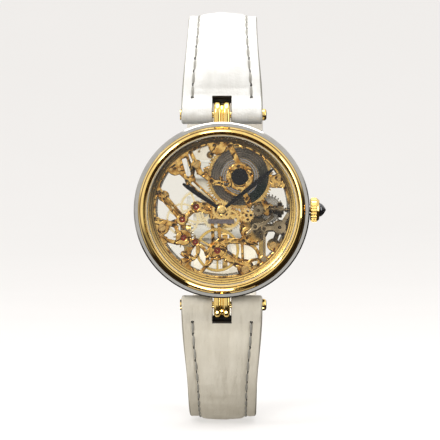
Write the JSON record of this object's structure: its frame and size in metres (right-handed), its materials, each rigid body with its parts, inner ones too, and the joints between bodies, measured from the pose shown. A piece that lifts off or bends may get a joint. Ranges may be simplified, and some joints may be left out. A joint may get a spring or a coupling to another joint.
{
  "type": "skeleton wristwatch",
  "caption": "Round two-tone wristwatch with an openworked hand-wound movement, gold bezel, cabochon crown and a padded leather strap buckled in a loop.",
  "frame": {"origin": "centre of the case back's outer face, on the hands' axis", "axes": "dial faces -Y, 12 o'clock +Z, crown +X; the strap loop closes on +Y"},
  "size_m": [0.0284, 0.049, 0.0619],
  "materials": {
    "case_steel": "brushed",
    "polished_gold": "polished",
    "movement_gold": "satin",
    "dark_plate": "satin",
    "black_steel": "polished",
    "grey_steel": "brushed",
    "ruby": "polished",
    "sapphire": "polished",
    "onyx": "polished",
    "gasket": "matte",
    "ivory_leather": "padded and stitched",
    "lining_leather": "suede"
  },
  "bodies": {
    "case": {"back_crystal": "sapphire", "balance_cock": "movement_gold", "barrel_bridge": "movement_gold", "bezel": "polished_gold", "buckle_bar": "grey_steel", "case_back": "case_steel", "case_middle": "case_steel", "click_spring": "grey_steel", "crystal": "sapphire", "fixed_keeper": "ivory_leather", "gaskets": "gasket", "hairspring": "grey_steel", "jewels": "ruby", "lever_spring": "grey_steel", "lugs": "polished_gold", "main_plate": "movement_gold", "movement_holder": "grey_steel", "movement_screws": "grey_steel", "name_plaque": "movement_gold", "pallet_cock": "movement_gold", "rehaut": "polished_gold", "shock_settings": "movement_gold", "strap_12": "ivory_leather", "strap_12_lining": "lining_leather", "strap_6": "ivory_leather", "strap_6_lining": "lining_leather", "strap_bars": "polished_gold", "train_bridge": "movement_gold"},
    "centre_arbor": {"centre_wheel": "movement_gold", "cannon_pinion": "movement_gold", "minute_hand": "black_steel", "hand_cap": "movement_gold"},
    "hour_wheel_body": {"hour_wheel": "movement_gold", "hour_hand": "black_steel"},
    "minute_wheel_body": {"minute_wheel": "movement_gold"},
    "setting_idler_body": {"setting_idler": "movement_gold"},
    "setting_wheel_body": {"setting_wheel": "grey_steel"},
    "barrel_body": {"barrel": "movement_gold", "barrel_cover": "dark_plate", "mainspring": "grey_steel"},
    "third_wheel_body": {"third_wheel": "movement_gold"},
    "fourth_wheel_body": {"fourth_wheel": "movement_gold"},
    "escape_wheel_body": {"escape_wheel": "grey_steel"},
    "fork_body": {"pallet_fork": "grey_steel"},
    "balance_body": {"balance_wheel": "movement_gold"},
    "regulator_body": {"regulator": "grey_steel"},
    "winding_body": {"winding_pinion": "grey_steel"},
    "crown_body": {"crown": "polished_gold", "crown_cabochon": "onyx", "stem": "grey_steel"},
    "clutch_body": {"clutch": "grey_steel"},
    "setting_lever_body": {"setting_lever": "grey_steel"},
    "yoke_body": {"yoke": "grey_steel"},
    "crown_wheel_body": {"crown_wheel": "grey_steel"},
    "ratchet_body": {"barrel_arbor": "black_steel", "ratchet_wheel": "grey_steel"},
    "click_body": {"click": "grey_steel"},
    "buckle_frame_body": {"buckle_frame": "polished_gold"},
    "buckle_tang_body": {"buckle_tang": "polished_gold"},
    "free_keeper_body": {"free_keeper": "ivory_leather"}
  },
  "joints": [
    {"name": "centre_spin", "type": "hinge", "parent": "case", "child": "centre_arbor", "pos_m": [0, -0.0035, 0], "axis": [0, 1, 0], "continuous": true},
    {"name": "hour_spin", "type": "hinge", "parent": "case", "child": "hour_wheel_body", "pos_m": [0, -0.0047, 0], "axis": [0, 1, 0], "continuous": true},
    {"name": "minute_wheel_spin", "type": "hinge", "parent": "case", "child": "minute_wheel_body", "pos_m": [0.00127, -0.0045, -0.00127], "axis": [0, 1, 0], "continuous": true},
    {"name": "setting_idler_spin", "type": "hinge", "parent": "case", "child": "setting_idler_body", "pos_m": [0.00365, -0.0044, -0.00077], "axis": [0, 1, 0], "continuous": true},
    {"name": "setting_wheel_spin", "type": "hinge", "parent": "case", "child": "setting_wheel_body", "pos_m": [0.0054, -0.004, -0.00006], "axis": [0, 1, 0], "continuous": true},
    {"name": "barrel_spin", "type": "hinge", "parent": "case", "child": "barrel_body", "pos_m": [0.00265, -0.0028, 0.0049], "axis": [0, 1, 0], "continuous": true},
    {"name": "third_spin", "type": "hinge", "parent": "case", "child": "third_wheel_body", "pos_m": [-0.00376, -0.003, 0.00044], "axis": [0, 1, 0], "continuous": true},
    {"name": "fourth_spin", "type": "hinge", "parent": "case", "child": "fourth_wheel_body", "pos_m": [-0.00583, -0.003, -0.00143], "axis": [0, 1, 0], "continuous": true},
    {"name": "escape_spin", "type": "hinge", "parent": "case", "child": "escape_wheel_body", "pos_m": [-0.00563, -0.003, -0.00411], "axis": [0, 1, 0], "continuous": true},
    {"name": "fork_rock", "type": "hinge", "parent": "case", "child": "fork_body", "pos_m": [-0.0039, -0.003, -0.00476], "axis": [0, 1, 0], "range_deg": [-5, 5]},
    {"name": "balance_swing", "type": "hinge", "parent": "case", "child": "balance_body", "pos_m": [-0.00066, -0.0027, -0.00597], "axis": [0, 1, 0], "range_deg": [-270, 270]},
    {"name": "regulator_turn", "type": "hinge", "parent": "case", "child": "regulator_body", "pos_m": [-0.00066, -0.0011, -0.00597], "axis": [0, 1, 0], "range_deg": [-8, 8]},
    {"name": "crown_turn", "type": "hinge", "parent": "case", "child": "winding_body", "pos_m": [0.0086, -0.00285, 0], "axis": [1, 0, 0], "continuous": true},
    {"name": "crown_pull", "type": "slide", "parent": "winding_body", "child": "crown_body", "axis": [1, 0, 0], "range_m": [0, 0.0006]},
    {"name": "clutch_slide", "type": "slide", "parent": "winding_body", "child": "clutch_body", "axis": [1, 0, 0], "range_m": [-0.0006, 0]},
    {"name": "setting_lever_rock", "type": "hinge", "parent": "case", "child": "setting_lever_body", "pos_m": [0.00855, -0.004, -0.00255], "axis": [0, 1, 0], "range_deg": [0, 17]},
    {"name": "yoke_rock", "type": "hinge", "parent": "case", "child": "yoke_body", "pos_m": [0.00492, -0.004, -0.00246], "axis": [0, 1, 0], "range_deg": [-15.6, 0]},
    {"name": "crown_wheel_spin", "type": "hinge", "parent": "case", "child": "crown_wheel_body", "pos_m": [0.0068, -0.0015, 0], "axis": [0, 1, 0], "continuous": true},
    {"name": "ratchet_spin", "type": "hinge", "parent": "case", "child": "ratchet_body", "pos_m": [0.00265, -0.0015, 0.0049], "axis": [0, 1, 0], "continuous": true},
    {"name": "click_rock", "type": "hinge", "parent": "case", "child": "click_body", "pos_m": [-0.00175, -0.0016, 0.0081], "axis": [0, 1, 0], "range_deg": [0, 8]},
    {"name": "buckle_frame_hinge", "type": "hinge", "parent": "case", "child": "buckle_frame_body", "pos_m": [0, 0.038, -0.0046], "axis": [1, 0, 0], "range_deg": [0, 10]},
    {"name": "buckle_tang_hinge", "type": "hinge", "parent": "buckle_frame_body", "child": "buckle_tang_body", "pos_m": [0, 0.038, -0.0046], "axis": [1, 0, 0], "range_deg": [0, 45]},
    {"name": "free_keeper_slide", "type": "slide", "parent": "case", "child": "free_keeper_body", "axis": [0, 0, 1], "range_m": [-0.0022, 0.0022]}
  ],
  "couplings": [
    {"joint": "hour_spin", "follows": "centre_spin", "ratio": 0.083333},
    {"joint": "minute_wheel_spin", "follows": "centre_spin", "ratio": -0.33333},
    {"joint": "setting_idler_spin", "follows": "centre_spin", "ratio": 0.41667},
    {"joint": "setting_wheel_spin", "follows": "centre_spin", "ratio": -0.55556},
    {"joint": "barrel_spin", "follows": "centre_spin", "ratio": -0.13889},
    {"joint": "third_spin", "follows": "centre_spin", "ratio": -8},
    {"joint": "fourth_spin", "follows": "centre_spin", "ratio": 60},
    {"joint": "escape_spin", "follows": "centre_spin", "ratio": -600},
    {"joint": "clutch_slide", "follows": "crown_pull", "ratio": -1},
    {"joint": "setting_lever_rock", "follows": "crown_pull", "rad_per_m": 488},
    {"joint": "yoke_rock", "follows": "crown_pull", "rad_per_m": -448},
    {"joint": "crown_wheel_spin", "follows": "crown_turn", "ratio": -0.57143},
    {"joint": "ratchet_spin", "follows": "crown_turn", "ratio": 0.2963}
  ]
}
